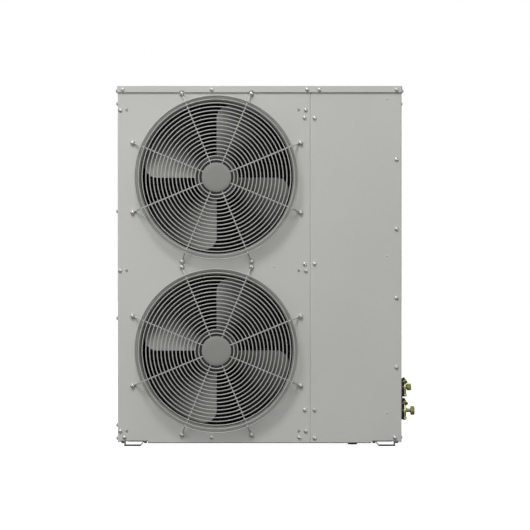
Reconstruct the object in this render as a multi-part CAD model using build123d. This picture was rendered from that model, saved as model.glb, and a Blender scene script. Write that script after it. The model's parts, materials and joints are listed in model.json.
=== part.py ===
from build123d import *
import os
from math import atan2, cos, degrees, pi, radians, sin

os.makedirs("parts", exist_ok=True)

# Air-cooled condenser: a sheet-steel cabinet with two axial fans one above the other,
# an L-shaped coil behind them and a service compartment on the right.
# Millimetres. The front faces -Y, +Z is up, the floor is Z = 0 and the origin is
# the middle of the four anchor slots.

# Fans and their openings
fan_radius = 260.0
fan_depth = 100.0
fan_recess = 38.0
blade_count = 4
blade_span = 68.0
blade_thickness = 6.0
blade_camber = 0.10
blade_corner = 45.0
blade_lead_corner = 25.0
blade_overrun = 0.05
blade_stations = 5
hub_radius = 76.0
hub_wall = 4.0
hub_boss_radius = 18.0
tip_gap = 8.0
lip_radius = 20.0
lip_steps = 4
collar_depth = 60.0

# Fan guards
guard_ring_count = 19
guard_hub_radius = 49.0
guard_wire = 3.8
spoke_wire = 5.0
spoke_count = 8
guard_standoff = 32.0
guard_reach = 32.0
eyelet_radius = 8.5
eyelet_pitch = 19.4
hub_plate_thickness = 2.0

# Cabinet
cabinet_width = 1000.0
cabinet_depth = 400.0
left_margin = 52.35
right_margin = 35.6
bottom_margin = 27.2
top_margin = 26.9
seam_gap = 1.0
sheet = 1.5
fit_gap = 0.3
lid_gap = 0.5
lid_lip = 22.5
lid_front = 5.0
bend = 3.25
left_return = 32.0
edge_return = 12.0
post_leg = 28.0
panel_bottom = 12.0
notch_gap = 2.0
groove_gap = 1.0
groove_bend = 2.0
opening_lap = 1.0
cut_over = 1.0

# Base and feet
base_height = 18.0
base_wall = 26.0
foot_plate = 3.0
foot_width = 58.0
foot_slant = 10.0
foot_flange = 12.0
foot_inset = 24.0
foot_reach = 35.0
foot_grip = 45.0
slot_width = 12.0
slot_length = 24.0
plug_radius = 18.5
plug_taper = 1.5
plug_drop = 15.0
plug_stem = 12.0
plug_sides = 16
plug_x_from_seam = 148.0
plug_y_from_front = 60.0

# Coil and its guards
coil_thickness = 44.0
coil_core = 28.0
coil_setback = 12.0
fin_pitch = 24.0
fin_sheet = 1.5
coil_bend = 78.0
coil_top_gap = 16.0
end_plate = 2.0
end_plate_lap = 4.0
coil_front_gap = 34.0
coil_wire = 3.0
coil_rows = 11
rear_columns = 3
left_columns = 2

# Motors and their bracket
motor_radius = 65.0
motor_length = 80.0
motor_boss_radius = 20.0
motor_boss_length = 15.0
motor_gap = 6.0
motor_edge = 6.0
shaft_radius = 6.0
shaft_fit = 0.05
shaft_in_motor = 22.0
shaft_end_gap = 1.0
shaft_end = 14.0
nut_flats = 19.0
nut_height = 8.0
rail_half_spacing = 75.0
rail_width = 30.0
rail_depth = 30.0
motor_plate = 2.0
motor_plate_height = 140.0

# Service valves
valve_plate_depth = 90.0
valve_plate_height = 176.0
valve_plate_thickness = 2.0
valve_plate_bottom = 78.0
valve_y_from_front = 60.0
valve_axis_out = 11.6
valve_barrel = 6.75
valve_end = 8.1
valve_end_length = 10.5
valve_end_chamfer = 3.2
valve_collar = 8.5
valve_collar_height = 2.6
valve_sides = 12
liquid_port_height = 205.5
liquid_nut = 22.0
liquid_tube = 4.9
liquid_cap = 12.3
liquid_drop = 34.0
gas_port_height = 123.0
gas_nut = 29.0
gas_tube = 8.1
gas_cap = 14.2
gas_drop = 34.0
flare_nut_length = 15.0
flare_seat = 4.0
flare_nut_turn = 15.0
gas_neck = 21.0
liquid_neck = 9.0
liquid_stem_rise = 14.8
gas_stem_rise = 22.3
stem_angle = 33.0
stem_share = 0.6
cap_length = 12.0
cap_edge = 2.5
cap_gap = 1.0

# Derived places
eyelet_step = 360.0 / spoke_count
opening_radius = fan_radius + tip_gap
guard_radius = opening_radius + lip_radius
eyelet_circle = guard_radius + guard_reach
eyelet_half = eyelet_circle * cos(radians(eyelet_step / 2))
fan_panel_width = left_margin + 2 * eyelet_half + right_margin
x_left = -cabinet_width / 2
x_right = cabinet_width / 2
y_front = -cabinet_depth / 2
y_rear = cabinet_depth / 2
fan_x = x_left + left_margin + eyelet_half
lower_z = panel_bottom + bottom_margin + eyelet_half
upper_z = lower_z + 2 * eyelet_half + eyelet_pitch
lid_top = upper_z + eyelet_half + top_margin
lid_under = lid_top - sheet
panel_top = lid_under - lid_gap
floor_top = base_height + sheet
seam_left = x_left + fan_panel_width
seam_right = seam_left + seam_gap
frame_inset = sheet + fit_gap
base_inset = 2 * frame_inset
fan_front = y_front + fan_recess
fan_back = fan_front + fan_depth
motor_front = fan_back + motor_gap
motor_back = motor_front + motor_length
coil_line = coil_setback + coil_thickness / 2
fans = {"upper": upper_z, "lower": lower_z}


def folded(points, radius=bend, thickness=sheet):
    """Section of a sheet folded along the middle line through the points."""
    return trace(FilletPolyline(*points, radius=radius), line_width=thickness)


def standing(section, bottom, top):
    """A plan section drawn at Z = 0, standing from bottom to top."""
    return extrude(Pos(0, 0, bottom) * section, amount=top - bottom, dir=(0, 0, 1))


def block(x0, x1, y0, y1, z0, z1):
    """Box between two corners."""
    return Pos((x0 + x1) / 2, (y0 + y1) / 2, (z0 + z1) / 2) * Box(x1 - x0, y1 - y0, z1 - z0)


def disc(x, z, radius, y0, y1):
    """Round bar along Y."""
    return Pos(x, (y0 + y1) / 2, z) * Rot(90, 0, 0) * Cylinder(radius, y1 - y0)


def on_axis(shape, z):
    """Moves a shape drawn round the Y axis to the fan axis at height z."""
    return Pos(fan_x, 0, z) * shape


# Feet: short hat sections under the base, with a slot out in front of the cabinet
foot_outer = cabinet_width / 2 - foot_inset
foot_inner = foot_outer - foot_width
foot_mid = (foot_outer + foot_inner) / 2
foot_y = cabinet_depth / 2 + foot_reach / 2
half_plate = foot_plate / 2
foot_line = Polyline(
    (foot_outer + foot_flange, base_height - half_plate),
    (foot_outer - half_plate, base_height - half_plate),
    (foot_outer - half_plate, half_plate),
    (foot_inner + half_plate, half_plate),
    (foot_inner - foot_slant, base_height - half_plate),
    (foot_inner - foot_slant - foot_flange, base_height - half_plate),
)
foot_section = trace(foot_line, line_width=foot_plate)
foot = extrude(Plane.XZ * foot_section, amount=foot_reach + foot_grip, dir=(0, -1, 0))
foot = Pos(0, y_front + foot_grip, 0) * foot
foot -= Pos(foot_mid, -foot_y, 0) * extrude(
    SlotOverall(slot_length, slot_width), amount=foot_plate + cut_over, both=True
)
export_step(foot, "parts/front_right_foot.step")
export_step(mirror(foot, Plane.YZ), "parts/front_left_foot.step")
export_step(mirror(foot, Plane.XZ), "parts/rear_right_foot.step")
export_step(mirror(mirror(foot, Plane.XZ), Plane.YZ), "parts/rear_left_foot.step")

# Base pan: a shallow tray with a drain hole
plug_x = seam_right + plug_x_from_seam
plug_y = y_front + plug_y_from_front
base_x = cabinet_width / 2 - base_inset
base_y = cabinet_depth / 2 - base_inset
base_top = base_height + base_wall
base_pan = block(-base_x, base_x, -base_y, base_y, base_height, base_top)
base_pan = fillet(base_pan.edges().filter_by(Axis.Z), bend + sheet)
base_hollow = block(
    -base_x + sheet, base_x - sheet, -base_y + sheet, base_y - sheet, floor_top, base_top
)
base_pan -= fillet(base_hollow.edges().filter_by(Axis.Z), bend)
base_pan -= Pos(plug_x, plug_y, base_height) * Cylinder(plug_stem + fit_gap, 4 * sheet)
export_step(base_pan, "parts/base_pan.step")

# Drain plug: a ribbed rubber bung pushed up through the drain hole
plug_spot = Pos(plug_x, plug_y, base_height)
plug_slope = degrees(atan2(plug_taper, plug_drop))
plug_head = extrude(RegularPolygon(plug_radius, plug_sides), amount=-plug_drop, taper=plug_slope)
plug_pin = extrude(RegularPolygon(plug_stem, plug_sides), amount=3 * sheet)
export_step(plug_spot * (plug_head + plug_pin), "parts/drain_plug.step")


# Panels: folded sheet, each with a notch over the foot below it
def foot_notch(side, y0, y1):
    inner = foot_inner - foot_slant - foot_flange - notch_gap
    outer = foot_outer + foot_flange + notch_gap
    x0, x1 = sorted((side * inner, side * outer))
    return block(x0, x1, y0, y1, 0, base_height + fit_gap)


def base_notch(x0, x1):
    return block(x0, x1, y_front + base_inset - fit_gap, y_front + 2 * edge_return, 0, base_top + fit_gap)


half = sheet / 2
fan_panel = standing(
    folded([
        (x_left + half, y_front + left_return),
        (x_left + half, y_front + half),
        (seam_left - half, y_front + half),
        (seam_left - half, y_front + edge_return),
    ]),
    panel_bottom,
    panel_top,
)
for z in fans.values():
    fan_panel -= disc(fan_x, z, guard_radius - opening_lap, y_front - sheet, y_front + 3 * sheet)
fan_panel -= foot_notch(-1, y_front - sheet, y_front + 2 * sheet)
fan_panel -= base_notch(seam_left - 2 * bend, seam_left + sheet)
export_step(fan_panel, "parts/fan_panel.step")

service_panel = standing(
    folded([
        (seam_right + half, y_front + edge_return),
        (seam_right + half, y_front + half),
        (x_right - half, y_front + half),
        (x_right - half, y_front + edge_return),
    ]),
    panel_bottom,
    panel_top,
)
service_panel -= foot_notch(1, y_front - sheet, y_front + 2 * sheet)
service_panel -= base_notch(seam_right - sheet, seam_right + 2 * bend)
export_step(service_panel, "parts/service_panel.step")

frame_x = cabinet_width / 2 - frame_inset - half
frame_y = cabinet_depth / 2 - frame_inset - half
right_side_panel = standing(
    folded([
        (frame_x - post_leg, -frame_y),
        (frame_x, -frame_y),
        (frame_x, frame_y),
        (frame_x - post_leg, frame_y),
    ]),
    base_height,
    panel_top,
)
export_step(right_side_panel, "parts/right_side_panel.step")

rear_panel = standing(
    folded([
        (seam_left + half, y_rear - half),
        (x_right - half, y_rear - half),
        (x_right - half, y_rear - edge_return),
    ]),
    panel_bottom,
    panel_top,
)
rear_panel -= foot_notch(1, y_rear - 2 * sheet, y_rear + sheet)
export_step(rear_panel, "parts/rear_panel.step")

# Top cover: a lid over all the panels, its lip out in front and cut away round the two top eyelets
lid_x = cabinet_width / 2 + lid_gap + sheet
lid_y = cabinet_depth / 2 + lid_gap + sheet
lid_front_y = y_front - lid_front
lid_bottom = lid_top - lid_lip
top_cover = block(-lid_x, lid_x, lid_front_y, lid_y, lid_bottom, lid_top)
top_cover = fillet(top_cover.edges().filter_by(Axis.Z), bend + sheet)
top_cover = chamfer(top_cover.faces().sort_by(Axis.Z)[-1].edges(), sheet / 2)
lid_hollow = block(
    -lid_x + sheet, lid_x - sheet, lid_front_y + sheet, lid_y - sheet, lid_bottom, lid_under
)
top_cover -= fillet(lid_hollow.edges().filter_by(Axis.Z), bend)
for k in range(spoke_count):
    angle = radians(eyelet_step * (k + 0.5))
    eyelet_x = fan_x + eyelet_circle * sin(angle)
    eyelet_z = upper_z + eyelet_circle * cos(angle)
    if eyelet_z > upper_z:
        top_cover -= disc(eyelet_x, eyelet_z, eyelet_radius + notch_gap, lid_front_y - sheet, y_front)
export_step(top_cover, "parts/top_cover.step")

# Posts: the frame the panels are screwed to
front_left_post = standing(
    folded([(-frame_x + post_leg, -frame_y), (-frame_x, -frame_y), (-frame_x, -frame_y + post_leg)]),
    base_height,
    panel_top,
)
export_step(front_left_post, "parts/front_left_post.step")

rear_left_post = standing(
    folded([(-frame_x + post_leg, frame_y), (-frame_x, frame_y), (-frame_x, frame_y - post_leg)]),
    base_height,
    panel_top,
)
export_step(rear_left_post, "parts/rear_left_post.step")

groove_left = seam_left - sheet - fit_gap - half - groove_gap
groove_right = seam_right + sheet + fit_gap + half + groove_gap
groove_back = y_front + edge_return + 3 * sheet
centre_post = standing(
    folded(
        [
            (groove_left - right_margin + eyelet_radius, -frame_y),
            (groove_left, -frame_y),
            (groove_left, groove_back),
            (groove_right, groove_back),
            (groove_right, -frame_y),
            (groove_right + post_leg, -frame_y),
        ],
        radius=groove_bend,
    ),
    base_top,
    panel_top,
)
export_step(centre_post, "parts/centre_post.step")

# Partition between the fan side and the service side
wall_x = groove_left - half - half
partition = block(
    wall_x - half, wall_x + half, groove_back, y_rear - coil_setback, floor_top, panel_top
)
export_step(partition, "parts/partition.step")

# Coil: a core of tubes bent round the rear left corner, with upright fins across it
coil_front = y_front + coil_front_gap
coil_end = wall_x - half - end_plate
coil_top = lid_under - coil_top_gap
coil_path = FilletPolyline(
    (x_left + coil_line, coil_front),
    (x_left + coil_line, y_rear - coil_line),
    (coil_end, y_rear - coil_line),
    radius=coil_bend,
)
fin_spaces = round(coil_path.length / fin_pitch)
first_fin = fin_sheet / 2 / coil_path.length
coil_section = trace(coil_path, line_width=coil_core)
for k in range(fin_spaces + 1):
    along = first_fin + (1 - 2 * first_fin) * k / fin_spaces
    spot = coil_path @ along
    heading = coil_path % along
    turned_to = degrees(atan2(heading.Y, heading.X))
    coil_section += Pos(spot.X, spot.Y) * Rot(0, 0, turned_to) * Rectangle(fin_sheet, coil_thickness)
coil = standing(coil_section, floor_top, coil_top)
export_step(coil, "parts/coil.step")

coil_front_plate = block(
    -frame_x + half,
    x_left + coil_setback + coil_thickness + end_plate_lap,
    coil_front - end_plate,
    coil_front,
    base_top,
    coil_top,
)
export_step(coil_front_plate, "parts/coil_front_plate.step")

rear_leg = block(
    coil_end,
    coil_end + end_plate,
    y_rear - coil_setback - coil_thickness - end_plate_lap,
    frame_y + half,
    base_top,
    coil_top,
)
rear_foot = block(
    coil_end,
    seam_left + post_leg,
    frame_y - half,
    frame_y + half,
    base_top,
    coil_top,
)
export_step(rear_leg + rear_foot, "parts/coil_rear_plate.step")


# Coil guards: welded wire grids screwed to the inner faces of the posts
def wire_grid(width, height, columns, rows):
    """Grid of square bars in the XY plane, its lower left corner at the origin."""
    bars = Sketch()
    for i in range(columns + 1):
        x = coil_wire / 2 + (width - coil_wire) * i / columns
        bars += Pos(x, height / 2) * Rectangle(coil_wire, height)
    for j in range(rows + 1):
        y = coil_wire / 2 + (height - coil_wire) * j / rows
        bars += Pos(width / 2, y) * Rectangle(width, coil_wire)
    return bars


grid_bottom = base_top + coil_wire
grid_height = coil_top - grid_bottom
rear_grid = wire_grid(coil_end + frame_x - post_leg / 2, grid_height, rear_columns, coil_rows)
rear_plane = Plane(
    origin=(-frame_x + post_leg / 2, frame_y - half, grid_bottom), x_dir=(1, 0, 0), z_dir=(0, -1, 0)
)
export_step(extrude(rear_plane * rear_grid, amount=coil_wire), "parts/rear_coil_guard.step")

left_grid = wire_grid(frame_y - post_leg / 2 - coil_front, grid_height, left_columns, coil_rows)
left_plane = Plane(
    origin=(-frame_x + half, coil_front, grid_bottom), x_dir=(0, 1, 0), z_dir=(1, 0, 0)
)
export_step(extrude(left_plane * left_grid, amount=coil_wire), "parts/left_coil_guard.step")

# Motor bracket: two channels from the base to the lid, and a plate for each motor
rail_front = motor_back + motor_plate
for name, side in (("left", -1), ("right", 1)):
    rail_x = fan_x + side * rail_half_spacing
    rail = standing(
        folded([
            (rail_x - side * (rail_width / 2 - half), rail_front + rail_depth),
            (rail_x - side * (rail_width / 2 - half), rail_front + half),
            (rail_x + side * (rail_width / 2 - half), rail_front + half),
            (rail_x + side * (rail_width / 2 - half), rail_front + rail_depth),
        ]),
        floor_top,
        lid_under,
    )
    export_step(rail, f"parts/{name}_motor_rail.step")


# Bellmouth: a spun ring behind the panel, its lip turning into a short collar
lip_centre = y_front + sheet + lip_radius
lip_turns = [pi / 2 * k / lip_steps for k in range(lip_steps + 1)]
lip_points = [
    (guard_radius - lip_radius * sin(turn), lip_centre - lip_radius * cos(turn)) for turn in lip_turns
]
collar_points = lip_points + [
    (opening_radius, y_front + collar_depth),
    (opening_radius + sheet, y_front + collar_depth),
    (opening_radius + sheet, lip_centre),
    (guard_radius, y_front + 2 * sheet),
]
bellmouth = revolve(make_face(Polyline(*collar_points, close=True)), axis=Axis.Y)


# Fan: twisted blades on a cup-shaped hub, each ruled between its root line and its tip line
def blade_line(radius):
    """Line along the blade at one radius, from ahead of its front edge to past its back edge."""
    points = []
    for k in range(blade_stations):
        share = (1 + 2 * blade_overrun) * k / (blade_stations - 1) - blade_overrun
        angle = radians(blade_span * share)
        depth = (fan_depth - blade_thickness) * (share + blade_camber * sin(pi * share))
        points.append(Vector(radius * sin(angle), fan_front + depth, radius * cos(angle)))
    return Edge.make_spline(points)


root_line = blade_line(hub_radius / 2)
tip_line = blade_line((1 + blade_overrun) * fan_radius)
skin = Face.make_surface_from_curves(root_line, tip_line)
root = hub_radius - hub_wall / 2
lead = radians(blade_span)
front_tip = Vector(0, fan_radius)
back_tip = Vector(fan_radius * sin(lead), fan_radius * cos(lead))
back_root = Vector(root * sin(lead), root * cos(lead))
outline = make_face([
    Line((0, root), front_tip),
    RadiusArc(front_tip, back_tip, fan_radius),
    Line(back_tip, back_root),
    RadiusArc(back_root, (0, root), -root),
])
outline = fillet(outline.vertices().sort_by_distance(front_tip)[0], blade_corner)
outline = fillet(outline.vertices().sort_by_distance(back_tip)[0], blade_lead_corner)
cutter = Pos(0, fan_front - fan_depth / 2, 0) * extrude(Plane.XZ * outline, amount=-2 * fan_depth)
blade = extrude(skin, amount=blade_thickness, dir=(0, 1, 0)) & cutter

hub_front = fan_front + hub_wall
hub_back = fan_back - hub_wall
boss_back = (hub_front + hub_back) / 2
hub = disc(0, 0, hub_radius, hub_front, hub_back)
hub = chamfer(hub.faces().sort_by(Axis.Y)[0].edges(), hub_wall)
hub -= disc(0, 0, hub_radius - hub_wall, hub_front + hub_wall, hub_back)
hub += disc(0, 0, hub_boss_radius, hub_front + hub_wall, boss_back)
fan = hub
for k in range(blade_count):
    fan += Rot(0, 360 / blade_count * k, 0) * blade
fan -= disc(0, 0, shaft_radius + shaft_fit, hub_front - cut_over, boss_back + cut_over)

# Shaft with its locknut, and motor
boss_front = motor_front - motor_boss_length
bore_back = motor_front + shaft_in_motor
nut_plane = Plane(origin=(0, hub_front, 0), x_dir=(1, 0, 0), z_dir=(0, -1, 0))
nut = extrude(nut_plane * RegularPolygon(nut_flats / 2, 6, major_radius=False), amount=nut_height)
shaft = disc(0, 0, shaft_radius, hub_front - shaft_end, bore_back - shaft_end_gap) + nut
motor = disc(0, 0, motor_radius, motor_front, motor_back)
motor = chamfer(motor.faces().sort_by(Axis.Y)[0].edges(), motor_edge)
motor += disc(0, 0, motor_boss_radius, boss_front, motor_front + motor_edge)
motor -= disc(0, 0, shaft_radius + shaft_fit, boss_front - cut_over, bore_back)
plate_half = rail_half_spacing + rail_width / 2
plate_rise = motor_plate_height / 2
motor_mount = block(-plate_half, plate_half, motor_back, rail_front, -plate_rise, plate_rise)

# Fan guard: concentric wire rings welded on spokes, which bend back to eyelets on the panel
ring_front = y_front - guard_standoff
ring_back = ring_front + guard_wire
spoke_mid = ring_back + spoke_wire / 2
seat_mid = y_front - spoke_wire / 2
ring_pitch = (guard_radius - guard_hub_radius) / (guard_ring_count - 1)


def wire_ring(radius):
    """Flat ring of short straight lengths, enough of them to look round."""
    sides = spoke_count * (2 if radius < guard_radius / 2 else 3)
    outside = RegularPolygon(radius + guard_wire / 2, sides)
    return outside - RegularPolygon(radius - guard_wire / 2, sides)


ring_plane = Plane(origin=(0, ring_back, 0), x_dir=(1, 0, 0), z_dir=(0, -1, 0))
ring_sections = [wire_ring(guard_hub_radius + ring_pitch * i) for i in range(guard_ring_count)]
guard_rings = extrude(ring_plane * (Sketch() + ring_sections), amount=guard_wire)
hub_disc = RegularPolygon(guard_hub_radius - guard_wire / 2 - fit_gap, 2 * spoke_count)
hub_plate = extrude(ring_plane * hub_disc, amount=hub_plate_thickness)
spoke_line = Polyline(
    (guard_hub_radius / 2, spoke_mid),
    (guard_radius + spoke_wire / 2, spoke_mid),
    (eyelet_circle - 2 * spoke_wire, seat_mid),
    (eyelet_circle, seat_mid),
)
spoke = extrude(trace(spoke_line, line_width=spoke_wire), amount=spoke_wire / 2, both=True)
eyelet_plane = Plane(origin=(eyelet_circle, y_front, 0), x_dir=(1, 0, 0), z_dir=(0, -1, 0))
spoke += extrude(eyelet_plane * RegularPolygon(eyelet_radius, spoke_count), amount=spoke_wire)
guard_spokes = Part() + [Rot(0, eyelet_step * (k + 0.5), 0) * spoke for k in range(spoke_count)]

for name, z in fans.items():
    export_step(on_axis(bellmouth, z), f"parts/{name}_bellmouth.step")
    export_step(on_axis(fan, z), f"parts/{name}_fan.step")
    export_step(on_axis(shaft, z), f"parts/{name}_fan_shaft.step")
    export_step(on_axis(motor, z), f"parts/{name}_fan_motor.step")
    export_step(on_axis(motor_mount, z), f"parts/{name}_motor_plate.step")
    export_step(on_axis(guard_rings, z), f"parts/{name}_guard_rings.step")
    export_step(on_axis(guard_spokes, z), f"parts/{name}_guard_spokes.step")
    export_step(on_axis(hub_plate, z), f"parts/{name}_guard_hub_plate.step")

# Valve plate low on the right side
valve_y = y_front + valve_y_from_front
plate_face = frame_x + half
valve_face = plate_face + valve_plate_thickness
valve_plate = block(
    plate_face,
    valve_face,
    valve_y - valve_plate_depth / 2,
    valve_y + valve_plate_depth / 2,
    valve_plate_bottom,
    valve_plate_bottom + valve_plate_height,
)
export_step(valve_plate, "parts/valve_plate.step")


# Service valves: a forged brass barrel with a flare port and a round stem cap leaning out
stem_lean = radians(stem_angle)


def turned(plane, radius, length, sides=valve_sides, turn=0):
    """Many-sided bar from a plane along its normal, radius to its flats, turned by an angle."""
    return extrude(plane * RegularPolygon(radius, sides, major_radius=False, rotation=turn), amount=length)


def service_valve(name, port_z, neck, nut_size, tube_radius, cap_radius, drop, stem_rise):
    axis_x = valve_face + valve_axis_out
    nut_start = axis_x + neck
    foot_z = port_z - drop
    collar_z = port_z + valve_barrel
    stem_z = port_z + stem_rise
    upright = Plane(origin=(axis_x, valve_y, 0), x_dir=(1, 0, 0), z_dir=(0, 0, 1))
    outward = Plane(origin=(valve_face, valve_y, port_z), x_dir=(0, 1, 0), z_dir=(1, 0, 0))
    lean = Plane(
        origin=(valve_face, valve_y, stem_z), x_dir=(0, 1, 0), z_dir=(cos(stem_lean), 0, sin(stem_lean))
    )
    end_bar = turned(upright.offset(foot_z), valve_end, valve_end_length)
    end_bar = chamfer(end_bar.faces().sort_by(Axis.Z)[0].edges(), valve_end_chamfer)
    body = turned(upright.offset(foot_z + valve_end), valve_barrel, stem_z - foot_z - valve_end)
    body += end_bar
    body += turned(upright.offset(collar_z), valve_collar, valve_collar_height)
    body += turned(outward, valve_barrel, nut_start - valve_face)
    stem_length = (cap_radius * sin(stem_lean) + cap_gap) / cos(stem_lean)
    stem = turned(lean, stem_share * cap_radius, stem_length)
    body += stem - block(0, valve_face, y_front, y_rear, 0, lid_top)
    cap_seat = lean.offset(stem_length)
    body -= extrude(cap_seat * Circle(cap_radius + fit_gap), amount=cap_length)
    export_step(body, f"parts/{name}_valve_body.step")
    cap = extrude(cap_seat * Circle(cap_radius), amount=cap_length)
    cap_end = cap.faces().sort_by(Axis((0, 0, 0), lean.z_dir))[-1]
    export_step(fillet(cap_end.edges(), cap_edge), f"parts/{name}_stem_cap.step")
    flare_nut = turned(
        outward.offset(nut_start - valve_face), nut_size / 2, flare_nut_length, 6, flare_nut_turn
    )
    tube_plane = outward.offset(nut_start - valve_face + flare_seat)
    flare_nut -= extrude(tube_plane * Circle(tube_radius), amount=flare_nut_length)
    export_step(flare_nut, f"parts/{name}_flare_nut.step")


service_valve(
    "liquid",
    liquid_port_height,
    liquid_neck,
    liquid_nut,
    liquid_tube,
    liquid_cap,
    liquid_drop,
    liquid_stem_rise,
)
service_valve(
    "gas", gas_port_height, gas_neck, gas_nut, gas_tube, gas_cap, gas_drop, gas_stem_rise
)
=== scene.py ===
# %% [markdown]
# # Air-cooled condenser
# The real object is an outdoor unit: a folded steel cabinet, two fans one above the other behind
# wire guards, a finned coil round the back, and a service side with two brass valves.
# The frame already holds every piece at its true size and place, in metres. This lesson gives
# each piece its finish, and builds a finer piece where the plain one would look too simple.

# %% Load the frame
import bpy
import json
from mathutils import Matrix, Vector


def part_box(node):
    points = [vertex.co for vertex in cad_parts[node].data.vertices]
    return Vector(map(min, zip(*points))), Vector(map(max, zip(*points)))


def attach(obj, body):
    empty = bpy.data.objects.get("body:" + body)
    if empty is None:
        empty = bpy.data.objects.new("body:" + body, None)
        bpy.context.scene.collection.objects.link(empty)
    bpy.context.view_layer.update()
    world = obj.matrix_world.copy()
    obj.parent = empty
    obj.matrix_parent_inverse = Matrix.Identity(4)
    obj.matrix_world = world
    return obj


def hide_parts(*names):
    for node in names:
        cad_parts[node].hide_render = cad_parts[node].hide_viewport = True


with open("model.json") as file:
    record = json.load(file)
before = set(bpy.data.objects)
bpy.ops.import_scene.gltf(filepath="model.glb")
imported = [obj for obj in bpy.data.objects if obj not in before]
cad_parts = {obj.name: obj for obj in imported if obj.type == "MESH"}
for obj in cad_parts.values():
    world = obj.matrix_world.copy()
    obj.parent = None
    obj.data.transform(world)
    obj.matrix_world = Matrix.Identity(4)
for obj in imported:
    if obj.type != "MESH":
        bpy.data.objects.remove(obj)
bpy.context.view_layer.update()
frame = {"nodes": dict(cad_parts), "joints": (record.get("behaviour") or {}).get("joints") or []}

import json
from math import asin, cos, exp, pi, radians, sin, sqrt, tau

import bmesh
import bpy
from mathutils import Vector

mm = 0.001
scene = bpy.context.scene

# %% [markdown]
# ## Where things are
# A maker measures before cutting. The fan axes come from the two hinges, and the faces that
# other pieces sit on come from the boxes of the frame's own pieces, so nothing is placed by eye.

# %% Measure the cabinet
fan_axes = {joint["child"].split("_")[0]: Vector(joint["pos_m"]) for joint in frame["joints"]}
panel_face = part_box("fan_panel")[0].y
lid_low, lid_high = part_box("top_cover")
base_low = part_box("base_pan")[0]
print("fan axes:", {name: tuple(round(c, 4) for c in axis) for name, axis in fan_axes.items()})
print("front face y:", round(panel_face, 4), "lid top z:", round(lid_high.z, 4))

# %% [markdown]
# ## Small tools for finishes
# Colours are read off a chart as sRGB hex values, while the renderer mixes light in linear
# values, so one function converts them. A second one adds a shader node with its settings and
# links in one line. The third turns a real size in millimetres into the scale that a texture
# node wants, which is how many features fit in a metre. The last starts an empty material, and
# hands over the coordinates of the piece that wears it, which patterns are laid out in.

# %% Colour, node and scale helpers
# Places of a colour Mix node's factor, two colours and result among its sockets.
FACTOR, TONE_A, TONE_B, MIXED = 0, 6, 7, 2


def linear(hex_colour):
    """Linear red, green, blue and alpha of an sRGB hex colour."""
    shares = [int(hex_colour[i:i + 2], 16) / 255 for i in (1, 3, 5)]
    return [s / 12.92 if s <= 0.04045 else ((s + 0.055) / 1.055) ** 2.4 for s in shares] + [1.0]


def add(tree, kind, values=None, links=None, **settings):
    """Adds a node to a tree, sets its properties and sockets, and links its inputs."""
    node = tree.nodes.new(kind)
    for name, value in settings.items():
        setattr(node, name, value)
    for socket, value in (values or {}).items():
        node.inputs[socket].default_value = value
    for socket, source in (links or {}).items():
        tree.links.new(source, node.inputs[socket])
    return node


def per_metre(size):
    """Texture scale for features of a size in millimetres."""
    return 1000.0 / size


def new_finish(name):
    """A new material, its node tree, emptied, and the wearing piece's own coordinates."""
    finish = bpy.data.materials.new(name)
    finish.use_nodes = True
    tree = finish.node_tree
    tree.nodes.clear()
    return finish, tree, add(tree, "ShaderNodeTexCoord").outputs["Object"]


print("white is", linear("#ffffff"), "and a 6 mm pattern has scale", round(per_metre(6), 1))

# %% [markdown]
# ## Paints, plastics and rubber
# Most of the cabinet is powder-coated: dry paint is sprayed on electrically and baked, so it
# flows into a skin with a faint dimple called orange peel, and its tone drifts a little over a
# large sheet. Moulded plastic and rubber show the same two things at other sizes. So one
# function makes them all: slow clouds between two tones, and a fine grain that moves both the
# gloss and the bump. A photograph of real paint would also do, but it can't follow a size.

# %% A coat with clouds and grain
coat_bump = 0.5


def coated(name, tones, cloud, grain, depth, gloss, ior=1.5, shine=0.5, depth_shade=None):
    """
    Coat of two near tones. Cloud, grain and depth are in millimetres, gloss is two roughnesses.
    Depth shade is a lighter lit tone, the place along Y where only it shows, and the place behind
    which the darker tones show as painted shade.
    """
    finish, tree, here = new_finish(name)
    soft = {"Scale": per_metre(cloud), "Detail": 3.0}
    clouds = add(tree, "ShaderNodeTexNoise", soft, {"Vector": here}).outputs["Fac"]
    pair = {TONE_A: linear(tones[0]), TONE_B: linear(tones[1])}
    tone = add(tree, "ShaderNodeMix", pair, {FACTOR: clouds}, data_type="RGBA").outputs[MIXED]
    # Painted shade: the lit tone gives way to the darker tones with depth along Y.
    if depth_shade:
        lit_tone, lit_until, dark_from = depth_shade
        along = add(tree, "ShaderNodeSeparateXYZ", links={"Vector": here}).outputs["Y"]
        lit_amount = add(
            tree, "ShaderNodeMapRange", {"From Min": dark_from, "From Max": lit_until}, {"Value": along}
        ).outputs["Result"]
        tone = add(
            tree,
            "ShaderNodeMix",
            {TONE_B: linear(lit_tone)},
            {FACTOR: lit_amount, TONE_A: tone},
            data_type="RGBA",
        ).outputs[MIXED]
    fine = {"Scale": per_metre(grain), "Detail": 2.0}
    grains = add(tree, "ShaderNodeTexNoise", fine, {"Vector": here}).outputs["Fac"]
    limits = {"To Min": gloss[0], "To Max": gloss[1]}
    roughness = add(tree, "ShaderNodeMapRange", limits, {"Value": grains}).outputs["Result"]
    peel = {"Strength": coat_bump, "Distance": depth * mm}
    dimples = add(tree, "ShaderNodeBump", peel, {"Height": grains}).outputs["Normal"]
    coat = add(
        tree,
        "ShaderNodeBsdfPrincipled",
        {"IOR": ior, "Specular IOR Level": shine},
        {"Base Color": tone, "Roughness": roughness, "Normal": dimples},
    )
    add(tree, "ShaderNodeOutputMaterial", links={"Surface": coat.outputs["BSDF"]})
    return finish


print("coats have a bump strength of", coat_bump)

# %% Coats of the cabinet, the fans and the coil
# Powder-coated steel. Real orange peel is 1 to 2 mm across, too fine here, so it is drawn at 6 mm.
panel_paint = coated("light_grey_powder_coat", ("#cfd0cb", "#d8d9d4"), 260, 6, 0.05, (0.42, 0.52))
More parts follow.
